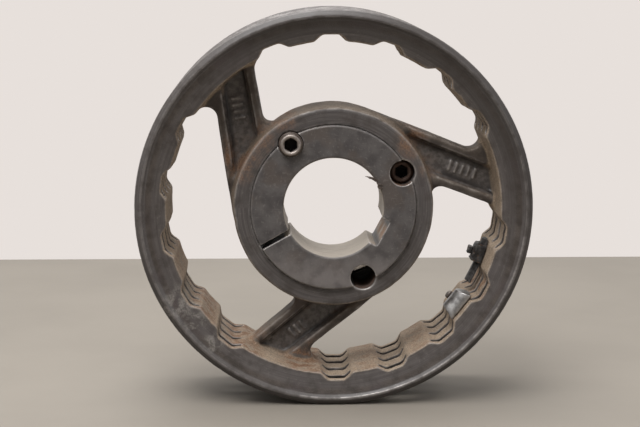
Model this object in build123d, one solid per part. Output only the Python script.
"""V belt pulley: a four-groove cast rim on three swept arms, with a tapered split bush.

Everything is drawn in a working frame with the pulley's axis along Z and its front face
towards +Z. ROW_FRAME then turns it so that the axis lies along Y, the front faces -Y and
+Z is up. The origin is on the axis, half way across the rim.
"""

from build123d import *
import math
import os

# ---- Belt grooves (section with a 19 mm pitch), millimetres and degrees ----
PITCH_RADIUS = 125.0
PITCH_WIDTH = 14.0
GROOVE_ABOVE_PITCH = 3.5
GROOVE_BELOW_PITCH = 15.4
GROOVE_ANGLE = 38.0
GROOVE_COUNT = 4
GROOVE_SPACING = 19.0
EDGE_TO_FIRST_GROOVE = 12.5

# ---- Rim ----
RING_INNER_RADIUS = 123.9
RING_FLAT_RADIUS = 125.2
RING_STEP = 1.8
RING_STEP_DRAFT = 1.8
RING_STEP_ROUND = 0.8
RING_EDGE_ROUND = 0.25
OUTER_BEVEL_DEPTH = 2.4
TIP_ROUND = 0.3
LAND_RADIUS = 107.2
LAND_DRAFT = 1.0
LAND_HALF_LENGTH = 35.0
LAND_END_ROUND = 0.9
RIDGE_ROUND = 0.4

# ---- Lightening pockets inside the rim ----
POCKET_STEP = 20.0
POCKET_FIRST_ANGLE = -89.0
POCKET_FLOOR_RADIUS = 111.7
POCKET_FLOOR_HALF = 5.6
POCKET_MOUTH_HALF_ANGLE = 5.7
POCKET_LIP_ANGLE = 2.2
POCKET_LIP_RISE = 0.15
POCKET_DRAFT = 0.8
POCKET_FLOOR_ROUND = 4.0
POCKET_MOUTH_ROUND = 2.0

# ---- Arms and windows ----
ARM_ANGLES = (100.0, -20.0, 220.0)
ARM_ROOT_TURN = 31.0
ARM_OUTER_OFFSET = 66.6
ARM_OUTER_LEAN = 1.7
ARM_INNER_OFFSET = 35.3
ARM_HALF_THICKNESS = 10.0
WINDOW_RIM_RADIUS = 107.9
WINDOW_RIM_ROUND = 7.5
WINDOW_LEADING_ROUND = 10.0
WINDOW_HUB_ROUND = 6.5
ARM_EDGE_ROUND = 2.2
RIB_WIDTH = 5.0
CHANNEL_DEPTH = 6.0
CHANNEL_DRAFT = 22.0
CHANNEL_HUB_RADIUS = 62.0
CHANNEL_RIM_RADIUS = 113.0
CHANNEL_CORNER_ROUND = 4.0
CHANNEL_FLOOR_ROUND = 1.5

# ---- Hub ----
HUB_RADIUS = 65.2
HUB_LENGTH = 50.8
HUB_EDGE_ROUND = 2.4
HUB_MOUTH_CHAMFER = 0.6
HUB_REAR_CHAMFER = 1.0

# ---- Taper bush ----
BUSH_LENGTH = 50.8
BUSH_BIG_RADIUS = 54.0
BUSH_TAPER = 4.0
BUSH_PROUD = 3.0
SEAT_CLEARANCE = 0.08
BORE_RADIUS = 32.5
BUSH_OUTER_CHAMFER = 0.8
BORE_CHAMFER = 1.0
SLIT_ANGLE = 208.9
SLIT_WIDTH = 3.0
KEYWAY_ANGLE = -28.0
KEYWAY_WIDTH = 18.0
KEYWAY_FLOOR = 36.9

# ---- Screw holes along the joint of bush and hub ----
HOLE_CIRCLE_RADIUS = 50.0
HOLE_RADIUS = 8.2
CLAMP_HOLE_ANGLES = (123.7, -67.2)
CLAMP_HOLE_DEPTH = 36.0
JACKING_HOLE_ANGLE = 26.6
JACKING_HOLE_DEPTH = 41.0

# ---- Set screws (5/8 inch, hexagon socket) ----
SCREW_RADIUS = 7.9
SCREW_LENGTH = 31.75
SCREW_SOCKET_FLATS = 7.94
SCREW_SOCKET_DEPTH = 9.0
SCREW_TOP_CHAMFER = 1.3
SCREW_POINT_CHAMFER = 2.0
CLAMP_SCREW_PROUD = 5.0
JACKING_SCREW_SUNK = 9.0

# ---- Balance weights on the inside of the rim ----
BRIGHT_WEIGHT_ANGLE = -38.3
BRIGHT_WEIGHT_PLACE = 21.5
BRIGHT_WEIGHT_LENGTH = 20.5
BRIGHT_WEIGHT_WIDTH = 17.0
BRIGHT_WEIGHT_HEIGHT = 9.5
BRIGHT_WEIGHT_END_SLOPE = 20.0
BRIGHT_WEIGHT_SEAT = 107.25
BRIGHT_STUD_ANGLE = -38.8
BRIGHT_STUD_PLACE = 1.0
BRIGHT_STUD_HEIGHT = 8.0
DARK_WEIGHT_ANGLES = (-30.6, -13.4)
DARK_WEIGHT_PLACE = 2.0
DARK_WEIGHT_WIDTH = 11.0
DARK_WEIGHT_HEIGHT = 4.2
DARK_WEIGHT_SHOULDER = 1.6
DARK_CLAMP_ANGLE = -19.2
DARK_CLAMP_SIZE = (13.0, 14.0, 8.2)
CLAMP_LIFT = 0.4
CLAMP_ROUND = 2.0
SQUARE_END = 5.4
SQUARE_END_HEIGHT = 3.0
SQUARE_END_CHAMFER = 0.5
WEIGHT_EDGE_ROUND = 0.4
STUD_RADIUS = 2.0
STUD_HEAD_RADIUS = 2.8
STUD_DOME_ROUND = 1.4
STUD_NECK = 1.0
STUD_DEPTH = 6.0
STUD_FIT = 0.05
PART_GAP = 0.15

# ---- Worked out from the above ----
TIP_RADIUS = PITCH_RADIUS + GROOVE_ABOVE_PITCH
ROOT_RADIUS = PITCH_RADIUS - GROOVE_BELOW_PITCH
FLANK_SLOPE = math.tan(math.radians(GROOVE_ANGLE / 2))
RIM_HALF_WIDTH = EDGE_TO_FIRST_GROOVE + GROOVE_SPACING * (GROOVE_COUNT - 1) / 2
HUB_FRONT = HUB_LENGTH / 2
BUSH_FRONT = HUB_FRONT + BUSH_PROUD
TAPER_SLOPE = math.tan(math.radians(BUSH_TAPER))
ROW_FRAME = Plane(origin=(0, 0, 0), x_dir=(1, 0, 0), z_dir=(0, -1, 0)).location
FAR = 200.0
OVERCUT = 1.0
HEAD_ROOM = 20.0


def polar(radius, angle):
    """A point in the working plane, from a radius and an angle in degrees."""
    turn = math.radians(angle)
    return (radius * math.cos(turn), radius * math.sin(turn))


def turned(shape, angle):
    """The shape turned about the pulley's axis."""
    return Rot(0, 0, angle) * shape


def groove_half_width(radius):
    """Half the width of a belt groove at a radius."""
    return PITCH_WIDTH / 2 + (radius - PITCH_RADIUS) * FLANK_SLOPE


def land_radius(height):
    """The rim's inner radius, which grows both ways from its middle."""
    return LAND_RADIUS + LAND_DRAFT * abs(height) / LAND_HALF_LENGTH


def rounded(outline, points, size):
    """A flat outline with the corners at some of its points rounded."""
    places = [Vector(*point) for point in points]
    corners = [
        v for v in outline.vertices() if min((Vector(*v) - p).length for p in places) < 1e-3
    ]
    return fillet(corners, size)


def spun(points, rounds=()):
    """A solid of revolution from (radius, height) points, with some corners rounded."""
    outline = make_face(Polyline(*[(r, 0, z) for r, z in points], close=True))
    for (r, z), size in rounds:
        outline = rounded(outline, [(r, 0, z)], size)
    return revolve(outline, Axis.Z, 360)


def rim_side(sign):
    """The side outline of the rim from its land out to its tip, and its rounded corners."""
    points = [
        (land_radius(LAND_HALF_LENGTH), LAND_HALF_LENGTH * sign),
        (RING_INNER_RADIUS - RING_STEP_DRAFT, (RIM_HALF_WIDTH - RING_STEP) * sign),
        (RING_INNER_RADIUS, RIM_HALF_WIDTH * sign),
        (RING_FLAT_RADIUS, RIM_HALF_WIDTH * sign),
        (TIP_RADIUS, (RIM_HALF_WIDTH - OUTER_BEVEL_DEPTH) * sign),
    ]
    sizes = [LAND_END_ROUND, RING_STEP_ROUND, RING_EDGE_ROUND, TIP_ROUND, TIP_ROUND]
    return points, list(zip(points, sizes))


def rim_blank():
    """The rim with its belt grooves, before the pockets are cut."""
    front, rounds = rim_side(1)
    rear, rear_rounds = rim_side(-1)
    rounds += rear_rounds
    points = list(front)
    for k in range(GROOVE_COUNT):
        middle = GROOVE_SPACING * ((GROOVE_COUNT - 1) / 2 - k)
        top, bottom = groove_half_width(TIP_RADIUS), groove_half_width(ROOT_RADIUS)
        points += [
            (TIP_RADIUS, middle + top),
            (ROOT_RADIUS, middle + bottom),
            (ROOT_RADIUS, middle - bottom),
            (TIP_RADIUS, middle - top),
        ]
        rounds += [((TIP_RADIUS, middle + side * top), RIDGE_ROUND) for side in (1, -1)]
    points += reversed(rear)
    points.append((LAND_RADIUS, 0))
    return spun(points, rounds)


def pocket_section(height):
    """The outline of one pocket at a height: a flat floor, sloped sides and rounded corners."""
    rise = POCKET_DRAFT * abs(height) / LAND_HALF_LENGTH
    floor = POCKET_FLOOR_RADIUS + rise
    mouth = land_radius(height)
    half = POCKET_MOUTH_HALF_ANGLE
    lip = polar(mouth - POCKET_LIP_RISE, half + POCKET_LIP_ANGLE)
    right = [(floor, POCKET_FLOOR_HALF), polar(mouth, half), lip]
    points = right + [(x, -y) for x, y in reversed(right)]
    outline = make_face(Polyline(*points, close=True))
    outline = rounded(outline, [points[0], points[-1]], POCKET_FLOOR_ROUND)
    outline = rounded(outline, [points[1], points[-2]], POCKET_MOUTH_ROUND)
    return Pos(0, 0, height) * outline


def pocket_cutter():
    """One pocket right through the rim, widening from the middle to both sides."""
    reach = RIM_HALF_WIDTH + OVERCUT
    halves = [loft([pocket_section(0), pocket_section(side * reach)]) for side in (1, -1)]
    return halves[0] + halves[1]


def pocket_angles():
    """Where the pockets are: every step round the rim except behind an arm's root."""
    places = [POCKET_FIRST_ANGLE + POCKET_STEP * k for k in range(round(360 / POCKET_STEP))]
    roots = [angle + ARM_ROOT_TURN for angle in ARM_ANGLES]
    return [a for a in places if all(abs((a - r + 180) % 360 - 180) > 1 for r in roots)]


def arm_point(angle, along, offset):
    """A point given along an arm and square to it."""
    turn = math.radians(angle)
    x = along * math.cos(turn) - offset * math.sin(turn)
    y = along * math.sin(turn) + offset * math.cos(turn)
    return (x, y)


def on_circle(angle, offset, radius):
    """Where a line along an arm, at an offset from the axis, meets a circle."""
    return arm_point(angle, math.sqrt(radius**2 - offset**2), offset)


def window():
    """One window: from the first arm's inner edge clockwise to the next arm's outer edge."""
    near, far = ARM_ANGLES[0], ARM_ANGLES[0] - 120.0 - ARM_OUTER_LEAN
    hub_corner = on_circle(near, ARM_INNER_OFFSET, HUB_RADIUS)
    rim_corner = on_circle(near, ARM_INNER_OFFSET, WINDOW_RIM_RADIUS)
    far_corner = on_circle(far, ARM_OUTER_OFFSET, WINDOW_RIM_RADIUS)
    far_foot = arm_point(far, 0, ARM_OUTER_OFFSET)
    start = math.degrees(math.atan2(rim_corner[1], rim_corner[0]))
    end = math.degrees(math.atan2(far_corner[1], far_corner[0]))
    hub_start = math.degrees(math.atan2(hub_corner[1], hub_corner[0]))
    hub_end = math.degrees(math.atan2(far_foot[1], far_foot[0]))
    touch_angle = hub_end + math.degrees(math.acos(HUB_RADIUS / ARM_OUTER_OFFSET))
    touch = polar(HUB_RADIUS, touch_angle)
    rim_arc = ThreePointArc(rim_corner, polar(WINDOW_RIM_RADIUS, (start + end) / 2), far_corner)
    hub_arc = ThreePointArc(touch, polar(HUB_RADIUS, (hub_start + touch_angle) / 2), hub_corner)
    sides = [Line(hub_corner, rim_corner), Line(far_corner, far_foot), Line(far_foot, touch)]
    outline = make_face(sides + [rim_arc, hub_arc])
    outline = rounded(outline, [hub_corner], WINDOW_HUB_ROUND)
    outline = rounded(outline, [rim_corner], WINDOW_LEADING_ROUND)
    return rounded(outline, [far_corner], WINDOW_RIM_ROUND)


def channel_cutter():
    """The recess between the two ribs of an arm, running into the hub and into the rim."""
    inner_angle, inner = ARM_ANGLES[0], ARM_INNER_OFFSET + RIB_WIDTH
    outer_angle, outer = ARM_ANGLES[0] - ARM_OUTER_LEAN, ARM_OUTER_OFFSET - RIB_WIDTH
    corners = [
        on_circle(outer_angle, outer, CHANNEL_HUB_RADIUS),
        on_circle(outer_angle, outer, CHANNEL_RIM_RADIUS),
        on_circle(inner_angle, inner, CHANNEL_RIM_RADIUS),
        on_circle(inner_angle, inner, CHANNEL_HUB_RADIUS),
    ]
    outline = make_face(Polyline(*corners, close=True))
    outline = fillet(outline.vertices(), CHANNEL_CORNER_ROUND)
    recess = extrude(Pos(0, 0, ARM_HALF_THICKNESS) * outline, -CHANNEL_DEPTH, taper=CHANNEL_DRAFT)
    floor = recess.faces().sort_by(Axis.Z)[0]
    recess = fillet(floor.edges(), CHANNEL_FLOOR_ROUND)
    return recess


def arm_plate():
    """The plate of the three arms, with its edges rounded and both faces recessed."""
    plate = Cylinder(WINDOW_RIM_RADIUS + OVERCUT, 2 * ARM_HALF_THICKNESS)
    opening = extrude(Pos(0, 0, -ARM_HALF_THICKNESS) * window(), 2 * ARM_HALF_THICKNESS)
    for angle in ARM_ANGLES:
        plate -= turned(opening, angle - ARM_ANGLES[0])
    rims = plate.edges().filter_by(
        lambda e: abs(abs(e.center().Z) - ARM_HALF_THICKNESS) < 1e-6
        and (e.center() - Vector(0, 0, e.center().Z)).length < WINDOW_RIM_RADIUS + 0.5
        and (e @ 0 - Vector(0, 0, (e @ 0).Z)).length < WINDOW_RIM_RADIUS + 0.5
    )
    plate = fillet(rims, ARM_EDGE_ROUND)
    recess = channel_cutter()
    for angle in ARM_ANGLES:
        for face in (recess, mirror(recess, Plane.XY)):
            plate -= turned(face, angle - ARM_ANGLES[0])
    return plate


def seat_radius(height):
    """The radius of the bush's taper at a height."""
    return BUSH_BIG_RADIUS - (BUSH_FRONT - height) * TAPER_SLOPE


def hub_blank():
    """The hub's barrel, solid."""
    barrel = Cylinder(HUB_RADIUS, HUB_LENGTH)
    return fillet(barrel.edges().filter_by(GeomType.CIRCLE), HUB_EDGE_ROUND)


def hub_bore():
    """What is cut from the hub: its tapered seat with a chamfer at each mouth."""
    front, rear = HUB_FRONT, -HUB_FRONT
    wall_front = seat_radius(front - HUB_MOUTH_CHAMFER) + SEAT_CLEARANCE
    wall_rear = seat_radius(rear + HUB_REAR_CHAMFER) + SEAT_CLEARANCE
    return spun(
        [
            (0, rear - OVERCUT),
            (wall_rear + HUB_REAR_CHAMFER + OVERCUT, rear - OVERCUT),
            (wall_rear, rear + HUB_REAR_CHAMFER),
            (wall_front, front - HUB_MOUTH_CHAMFER),
            (wall_front + HUB_MOUTH_CHAMFER + OVERCUT, front + OVERCUT),
            (0, front + OVERCUT),
        ]
    )


def screw_hole(angle, depth):
    """A blind hole, half in the bush and half in the hub, open at the front."""
    reach = depth + HEAD_ROOM
    place = Pos(*polar(HOLE_CIRCLE_RADIUS, angle), BUSH_FRONT - depth + reach / 2)
    return place * Cylinder(HOLE_RADIUS, reach)


def screw_holes():
    """All three holes: two for the clamping screws and one for jacking the bush out."""
    holes = [screw_hole(angle, CLAMP_HOLE_DEPTH) for angle in CLAMP_HOLE_ANGLES]
    holes.append(screw_hole(JACKING_HOLE_ANGLE, JACKING_HOLE_DEPTH))
    return holes


def casting():
    """The whole iron casting, in one solid."""
    body = rim_blank() + arm_plate() + hub_blank()
    cutter = pocket_cutter()
    body -= [turned(cutter, angle) for angle in pocket_angles()]
    body -= hub_bore()
    body -= screw_holes()
    body -= [stud_hole(*place) for place in stud_places()]
    return body


def taper_bush():
    """The split bush, with bore, keyway, slit and the halves of the screw holes."""
    rear = BUSH_FRONT - BUSH_LENGTH
    edge, lip = BUSH_OUTER_CHAMFER, BORE_CHAMFER
    bush = spun(
        [
            (BORE_RADIUS + lip, rear),
            (seat_radius(rear) - edge, rear),
            (seat_radius(rear + edge), rear + edge),
            (seat_radius(BUSH_FRONT - edge), BUSH_FRONT - edge),
            (seat_radius(BUSH_FRONT) - edge, BUSH_FRONT),
            (BORE_RADIUS + lip, BUSH_FRONT),
            (BORE_RADIUS, BUSH_FRONT - lip),
            (BORE_RADIUS, rear + lip),
        ]
    )
    middle = BUSH_FRONT - BUSH_LENGTH / 2
    slit = Pos(FAR / 2, 0, middle) * Box(FAR, SLIT_WIDTH, FAR)
    keyway = Pos(KEYWAY_FLOOR / 2, 0, middle) * Box(KEYWAY_FLOOR, KEYWAY_WIDTH, FAR)
    bush -= turned(slit, SLIT_ANGLE)
    bush -= turned(keyway, KEYWAY_ANGLE)
    bush -= screw_holes()
    return bush


def set_screw(angle, top):
    """A set screw with a hexagon socket, its top at a height."""
    body = Cylinder(SCREW_RADIUS, SCREW_LENGTH)
    ends = body.edges().filter_by(GeomType.CIRCLE).sort_by(Axis.Z)
    body = chamfer(ends[-1], SCREW_TOP_CHAMFER)
    body = chamfer(body.edges().filter_by(GeomType.CIRCLE).sort_by(Axis.Z)[0], SCREW_POINT_CHAMFER)
    hexagon = RegularPolygon(SCREW_SOCKET_FLATS / 2, 6, major_radius=False)
    socket = extrude(Pos(0, 0, SCREW_LENGTH / 2) * hexagon, -SCREW_SOCKET_DEPTH)
    place = Pos(*polar(HOLE_CIRCLE_RADIUS, angle), top - SCREW_LENGTH / 2)
    return place * Rot(0, 0, angle) * (body - socket)


def inward(angle, radius, height):
    """A place on the inside of the rim: X along the rim, Y to the front, Z towards the axis."""
    x, y = polar(radius, angle)
    towards = Vector(-x, -y, 0)
    along = Vector(-y, x, 0)
    return Plane(origin=(x, y, height), x_dir=along, z_dir=towards).location


def stud_places():
    """Where the two small studs go into the rim."""
    return [
        (BRIGHT_STUD_ANGLE, BRIGHT_STUD_PLACE),
        (DARK_CLAMP_ANGLE, DARK_WEIGHT_PLACE),
    ]


def stud_hole(angle, height):
    """The hole in the rim for a stud."""
    depth = STUD_DEPTH + PART_GAP
    return inward(angle, land_radius(height), height) * (
        Pos(0, 0, OVERCUT - depth / 2) * Cylinder(STUD_RADIUS + STUD_FIT, depth + 2 * OVERCUT)
    )


def bright_weight():
    """The half-round bright weight, lying along the rim near the front."""
    half, height = BRIGHT_WEIGHT_WIDTH / 2, BRIGHT_WEIGHT_HEIGHT
    base = height - half
    outline = make_face(
        [
            Line((-half, 0), (half, 0)),
            Line((half, 0), (half, base)),
            ThreePointArc((half, base), (0, height), (-half, base)),
            Line((-half, base), (-half, 0)),
        ]
    )
    bar = extrude(Plane.YZ * outline, BRIGHT_WEIGHT_LENGTH / 2, both=True)
    for side in (1, -1):
        beyond = Pos(side * FAR / 2, 0, 0) * Box(FAR, FAR, FAR)
        end = Pos(side * BRIGHT_WEIGHT_LENGTH / 2, 0, 0) * Rot(0, -side * BRIGHT_WEIGHT_END_SLOPE, 0)
        bar -= end * beyond
    ends = [bar.faces().sort_by(Axis.X)[0], bar.faces().sort_by(Axis.X)[-1]]
    bar = fillet([edge for face in ends for edge in face.edges()], WEIGHT_EDGE_ROUND)
    return inward(BRIGHT_WEIGHT_ANGLE, BRIGHT_WEIGHT_SEAT, BRIGHT_WEIGHT_PLACE) * bar


def bright_stud():
    """The small domed stud behind the bright weight."""
    seat = land_radius(BRIGHT_STUD_PLACE)
    shank = Pos(0, 0, -STUD_DEPTH / 2) * Cylinder(STUD_RADIUS, STUD_DEPTH)
    head = Pos(0, 0, BRIGHT_STUD_HEIGHT / 2 + PART_GAP) * Cylinder(STUD_HEAD_RADIUS, BRIGHT_STUD_HEIGHT)
    head = fillet(head.edges().filter_by(GeomType.CIRCLE).sort_by(Axis.Z)[-1], STUD_DOME_ROUND)
    neck = Pos(0, 0, STUD_NECK / 2) * Cylinder(STUD_RADIUS, STUD_NECK)
    return inward(BRIGHT_STUD_ANGLE, seat, BRIGHT_STUD_PLACE) * (shank + neck + head)


def strip(clearance=0.0):
    """The dark weight's half-round strip, bent along the rim, or the room that it needs."""
    start, end = DARK_WEIGHT_ANGLES
    seat = LAND_RADIUS - PART_GAP + clearance
    half = DARK_WEIGHT_WIDTH / 2 + clearance
    crown = LAND_RADIUS - PART_GAP - DARK_WEIGHT_HEIGHT - clearance
    shoulder = LAND_RADIUS - DARK_WEIGHT_SHOULDER
    section = make_face(
        [
            Line((seat, 0, -half), (seat, 0, half)),
            Line((seat, 0, half), (shoulder, 0, half)),
            ThreePointArc((shoulder, 0, half), (crown, 0, 0), (shoulder, 0, -half)),
            Line((shoulder, 0, -half), (seat, 0, -half)),
        ]
    )
    bent = revolve(section, Axis.Z, end - start)
    return Pos(0, 0, DARK_WEIGHT_PLACE) * turned(bent, start)


def dark_weight():
    """The dark weight, drilled for its stud."""
    bar = strip()
    ends = [f for f in bar.faces().filter_by(GeomType.PLANE) if abs(f.normal_at().Z) < 0.5]
    bar = fillet([e for f in ends for e in f.edges()], WEIGHT_EDGE_ROUND)
    return bar - dark_place() * Cylinder(STUD_RADIUS + PART_GAP, 4 * DARK_WEIGHT_HEIGHT)


def dark_place():
    """The seat of the clamp on the rim."""
    return inward(DARK_CLAMP_ANGLE, LAND_RADIUS, DARK_WEIGHT_PLACE)


def dark_clamp():
    """The saddle that grips the dark weight."""
    along, across, height = DARK_CLAMP_SIZE
    saddle = Pos(0, 0, (height + CLAMP_LIFT) / 2) * Box(along, across, height - CLAMP_LIFT)
    saddle = fillet(saddle.faces().sort_by(Axis.Z)[-1].edges(), CLAMP_ROUND)
    saddle -= Cylinder(STUD_RADIUS + PART_GAP, 4 * height)
    return dark_place() * saddle - strip(PART_GAP)


def dark_clamp_stud():
    """The stud through the saddle, with its square end standing inwards."""
    height = DARK_CLAMP_SIZE[2] + PART_GAP
    shank = Pos(0, 0, (height - STUD_DEPTH) / 2) * Cylinder(STUD_RADIUS, height + STUD_DEPTH)
    head = Pos(0, 0, height + SQUARE_END_HEIGHT / 2) * Box(SQUARE_END, SQUARE_END, SQUARE_END_HEIGHT)
    head = chamfer(head.edges(), SQUARE_END_CHAMFER)
    return dark_place() * (shank + head)


def tube(inner, outer):
    """A long ring used to take the casting apart by radius."""
    return Cylinder(outer, FAR) - Cylinder(inner, FAR)


def casting_pieces():
    """The casting as separate bodies that meet face to face: hub, arms, bed and five rings."""
    whole = casting()
    pieces = {"hub": whole & Cylinder(HUB_RADIUS, FAR)}
    arms = (whole & tube(HUB_RADIUS, LAND_RADIUS)).solids().filter_by(lambda s: s.volume > 100)
    for number, angle in enumerate(ARM_ANGLES, start=1):
        middle = Vector(*polar(WINDOW_RIM_RADIUS, angle + ARM_ROOT_TURN), 0)
        pieces[f"arm_{number}"] = arms.sort_by(lambda s: (s.center() - middle).length)[0]
    pieces["rim_bed"] = whole & tube(LAND_RADIUS, ROOT_RADIUS)
    rings = (whole & tube(ROOT_RADIUS, FAR)).solids().sort_by(Axis.Z, reverse=True)
    names = ["front_flange"] + [f"rim_ridge_{k}" for k in range(1, GROOVE_COUNT)] + ["rear_flange"]
    pieces.update(zip(names, rings))
    return pieces


def all_pieces():
    """Every node of the model by name."""
    pieces = casting_pieces()
    pieces["taper_bush"] = taper_bush()
    pieces["clamp_screw"] = set_screw(CLAMP_HOLE_ANGLES[0], BUSH_FRONT + CLAMP_SCREW_PROUD)
    pieces["jacking_screw"] = set_screw(JACKING_HOLE_ANGLE, BUSH_FRONT - JACKING_SCREW_SUNK)
    pieces["bright_weight"] = bright_weight()
    pieces["bright_weight_stud"] = bright_stud()
    pieces["dark_weight"] = dark_weight()
    pieces["dark_weight_clamp"] = dark_clamp()
    pieces["dark_weight_stud"] = dark_clamp_stud()
    return pieces


os.makedirs("parts", exist_ok=True)
for name, shape in all_pieces().items():
    export_step(ROW_FRAME * shape, f"parts/{name}.step")
